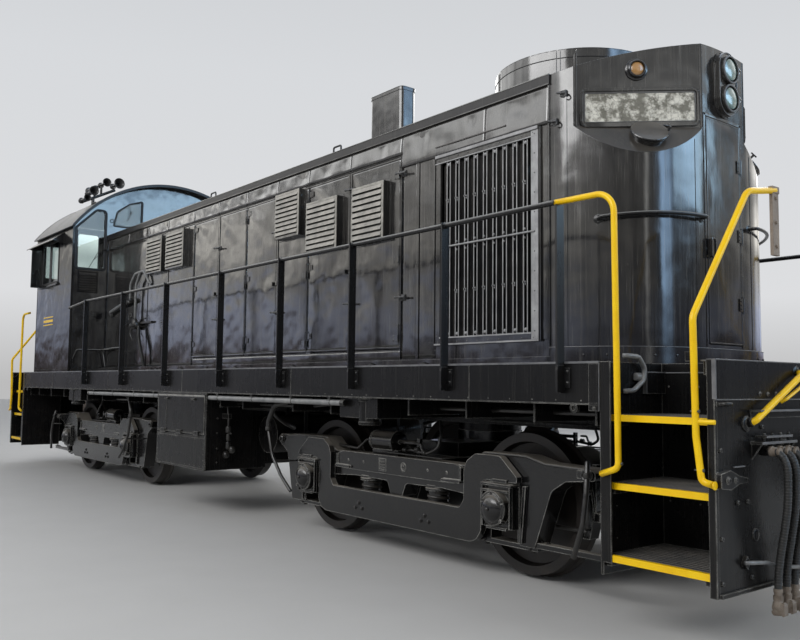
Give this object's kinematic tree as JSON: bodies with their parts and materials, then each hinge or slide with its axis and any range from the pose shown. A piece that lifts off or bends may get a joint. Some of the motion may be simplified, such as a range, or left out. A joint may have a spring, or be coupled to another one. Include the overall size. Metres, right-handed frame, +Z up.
{
  "type": "diesel locomotive",
  "caption": "End-cab diesel switching locomotive with a long narrow hood, rounded cab roof, swivelling two-axle trucks, opening doors and knuckle couplers.",
  "frame": {"origin": "centre of the bounding box's base, at the bottom of the wheel flanges, midway between the coupler faces", "axes": "+X towards the hood's nose, along the track; +Y to the left; +Z up"},
  "size_m": [13.862, 3.38, 4.4938],
  "materials": {
    "hose_rubber": "worn",
    "frame_black": "satin, dusty",
    "black_paint": "glossy, weathered",
    "cab_green": "satin interior paint",
    "cab_glass": "clear",
    "yellow_paint": "gloss",
    "engine_grey": "oily paint",
    "cast_truck": "painted, grimy",
    "coupling_iron": "bare",
    "wheel_steel": "rusty tread"
  },
  "bodies": {
    "carbody": {"air_hose_1": "hose_rubber", "air_hose_2": "hose_rubber", "air_hose_3": "hose_rubber", "air_tanks_and_pipes": "frame_black", "battery_boxes": "frame_black", "cab_end_walls": "black_paint", "cab_floor_and_seats": "cab_green", "cab_glass": "cab_glass", "cab_roof": "black_paint", "cab_sides": "black_paint", "corner_steps": "frame_black", "end_handrails": "yellow_paint", "engine_block": "engine_grey", "exhaust_stack": "black_paint", "fan_shroud": "black_paint", "hood_roof": "black_paint", "hood_sides": "black_paint", "horn": "black_paint", "hose_couplings": "coupling_iron", "lamps": "black_paint", "nose_shell": "black_paint", "pilots": "frame_black", "side_handrails": "black_paint", "side_radiators": "black_paint", "underframe": "frame_black"},
    "battery_door_left_body": {"battery_door_left": "frame_black"},
    "battery_door_right_body": {"battery_door_right": "frame_black"},
    "cab_door_front_body": {"cab_door_front": "black_paint"},
    "cab_door_rear_body": {"cab_door_rear": "black_paint"},
    "truck_front": {"front_brake_gear": "cast_truck", "front_equalizers": "cast_truck", "front_journal_boxes": "cast_truck", "front_traction_motors": "cast_truck", "front_truck_frame": "cast_truck"},
    "coupler_front_body": {"front_coupler": "coupling_iron"},
    "knuckle_front_body": {"front_knuckle": "coupling_iron"},
    "hood_door_left_a_body": {"hood_door_left_a": "black_paint"},
    "hood_door_left_b_body": {"hood_door_left_b": "black_paint"},
    "hood_door_left_c_body": {"hood_door_left_c": "black_paint"},
    "hood_door_left_d_body": {"hood_door_left_d": "black_paint"},
    "hood_door_left_e_body": {"hood_door_left_e": "black_paint"},
    "hood_door_left_f_body": {"hood_door_left_f": "black_paint"},
    "hood_door_right_a_body": {"hood_door_right_a": "black_paint"},
    "hood_door_right_b_body": {"hood_door_right_b": "black_paint"},
    "hood_door_right_c_body": {"hood_door_right_c": "black_paint"},
    "hood_door_right_d_body": {"hood_door_right_d": "black_paint"},
    "hood_door_right_e_body": {"hood_door_right_e": "black_paint"},
    "hood_door_right_f_body": {"hood_door_right_f": "black_paint"},
    "nose_door_body": {"nose_door": "black_paint"},
    "truck_rear": {"rear_brake_gear": "cast_truck", "rear_equalizers": "cast_truck", "rear_journal_boxes": "cast_truck", "rear_traction_motors": "cast_truck", "rear_truck_frame": "cast_truck"},
    "coupler_rear_body": {"rear_coupler": "coupling_iron"},
    "knuckle_rear_body": {"rear_knuckle": "coupling_iron"},
    "wheelset_1": {"wheelset_1": "wheel_steel"},
    "wheelset_2": {"wheelset_2": "wheel_steel"},
    "wheelset_3": {"wheelset_3": "wheel_steel"},
    "wheelset_4": {"wheelset_4": "wheel_steel"}
  },
  "joints": [
    {"name": "truck_front_swivel", "type": "hinge", "parent": "carbody", "child": "truck_front", "pos_m": [3.429, 0, 0.985], "axis": [0, 0, 1], "range_deg": [-6, 6]},
    {"name": "truck_rear_swivel", "type": "hinge", "parent": "carbody", "child": "truck_rear", "pos_m": [-3.429, 0, 0.985], "axis": [0, 0, 1], "range_deg": [-6, 6]},
    {"name": "wheelset_1_roll", "type": "hinge", "parent": "truck_front", "child": "wheelset_1", "pos_m": [4.648, 0, 0.533], "axis": [0, 1, 0], "continuous": true},
    {"name": "wheelset_2_roll", "type": "hinge", "parent": "truck_front", "child": "wheelset_2", "pos_m": [2.21, 0, 0.533], "axis": [0, 1, 0], "continuous": true},
    {"name": "wheelset_3_roll", "type": "hinge", "parent": "truck_rear", "child": "wheelset_3", "pos_m": [-2.21, 0, 0.533], "axis": [0, 1, 0], "continuous": true},
    {"name": "wheelset_4_roll", "type": "hinge", "parent": "truck_rear", "child": "wheelset_4", "pos_m": [-4.648, 0, 0.533], "axis": [0, 1, 0], "continuous": true},
    {"name": "coupler_front_swing", "type": "hinge", "parent": "carbody", "child": "coupler_front_body", "pos_m": [5.95, 0, 0.901], "axis": [0, 0, 1], "range_deg": [-7, 7]},
    {"name": "knuckle_front_open", "type": "hinge", "parent": "coupler_front_body", "child": "knuckle_front_body", "pos_m": [6.808, -0.122, 0.901], "axis": [0, 0, 1], "range_deg": [-45, 0]},
    {"name": "coupler_rear_swing", "type": "hinge", "parent": "carbody", "child": "coupler_rear_body", "pos_m": [-5.95, 0, 0.901], "axis": [0, 0, 1], "range_deg": [-7, 7]},
    {"name": "knuckle_rear_open", "type": "hinge", "parent": "coupler_rear_body", "child": "knuckle_rear_body", "pos_m": [-6.808, 0.122, 0.901], "axis": [0, 0, 1], "range_deg": [-45, 0]},
    {"name": "nose_door_hinge", "type": "hinge", "parent": "carbody", "child": "nose_door_body", "pos_m": [5.757, 0.2, 2.45], "axis": [0, 0, 1], "range_deg": [0, 100]},
    {"name": "cab_door_front_hinge", "type": "hinge", "parent": "carbody", "child": "cab_door_front_body", "pos_m": [-3.608, 1.033, 2.6], "axis": [0, 0, 1], "range_deg": [-80, 0]},
    {"name": "cab_door_rear_hinge", "type": "hinge", "parent": "carbody", "child": "cab_door_rear_body", "pos_m": [-5.302, -1.087, 2.6], "axis": [0, 0, 1], "range_deg": [0, 100]},
    {"name": "hood_door_right_a_hinge", "type": "hinge", "parent": "carbody", "child": "hood_door_right_a_body", "pos_m": [-0.623, -1.018, 2.495], "axis": [0, 0, 1], "range_deg": [-40, 0]},
    {"name": "hood_door_right_b_hinge", "type": "hinge", "parent": "carbody", "child": "hood_door_right_b_body", "pos_m": [0.666, -1.018, 2.495], "axis": [0, 0, 1], "range_deg": [0, 40]},
    {"name": "hood_door_right_c_hinge", "type": "hinge", "parent": "carbody", "child": "hood_door_right_c_body", "pos_m": [0.694, -1.018, 2.495], "axis": [0, 0, 1], "range_deg": [-40, 0]},
    {"name": "hood_door_right_d_hinge", "type": "hinge", "parent": "carbody", "child": "hood_door_right_d_body", "pos_m": [1.913, -1.018, 2.495], "axis": [0, 0, 1], "range_deg": [0, 40]},
    {"name": "hood_door_right_e_hinge", "type": "hinge", "parent": "carbody", "child": "hood_door_right_e_body", "pos_m": [1.941, -1.018, 2.495], "axis": [0, 0, 1], "range_deg": [-40, 0]},
    {"name": "hood_door_right_f_hinge", "type": "hinge", "parent": "carbody", "child": "hood_door_right_f_body", "pos_m": [3.358, -1.018, 2.495], "axis": [0, 0, 1], "range_deg": [0, 40]},
    {"name": "hood_door_left_a_hinge", "type": "hinge", "parent": "carbody", "child": "hood_door_left_a_body", "pos_m": [-0.623, 1.018, 2.495], "axis": [0, 0, 1], "range_deg": [0, 40]},
    {"name": "hood_door_left_b_hinge", "type": "hinge", "parent": "carbody", "child": "hood_door_left_b_body", "pos_m": [0.666, 1.018, 2.495], "axis": [0, 0, 1], "range_deg": [-40, 0]},
    {"name": "hood_door_left_c_hinge", "type": "hinge", "parent": "carbody", "child": "hood_door_left_c_body", "pos_m": [0.694, 1.018, 2.495], "axis": [0, 0, 1], "range_deg": [0, 40]},
    {"name": "hood_door_left_d_hinge", "type": "hinge", "parent": "carbody", "child": "hood_door_left_d_body", "pos_m": [1.913, 1.018, 2.495], "axis": [0, 0, 1], "range_deg": [-40, 0]},
    {"name": "hood_door_left_e_hinge", "type": "hinge", "parent": "carbody", "child": "hood_door_left_e_body", "pos_m": [1.941, 1.018, 2.495], "axis": [0, 0, 1], "range_deg": [0, 40]},
    {"name": "hood_door_left_f_hinge", "type": "hinge", "parent": "carbody", "child": "hood_door_left_f_body", "pos_m": [3.358, 1.018, 2.495], "axis": [0, 0, 1], "range_deg": [-40, 0]},
    {"name": "battery_door_right_hinge", "type": "hinge", "parent": "carbody", "child": "battery_door_right_body", "pos_m": [0.26, -1.546, 0.832], "axis": [1, 0, 0], "range_deg": [0, 92]},
    {"name": "battery_door_left_hinge", "type": "hinge", "parent": "carbody", "child": "battery_door_left_body", "pos_m": [0.26, 1.546, 0.832], "axis": [1, 0, 0], "range_deg": [-92, 0]}
  ]
}
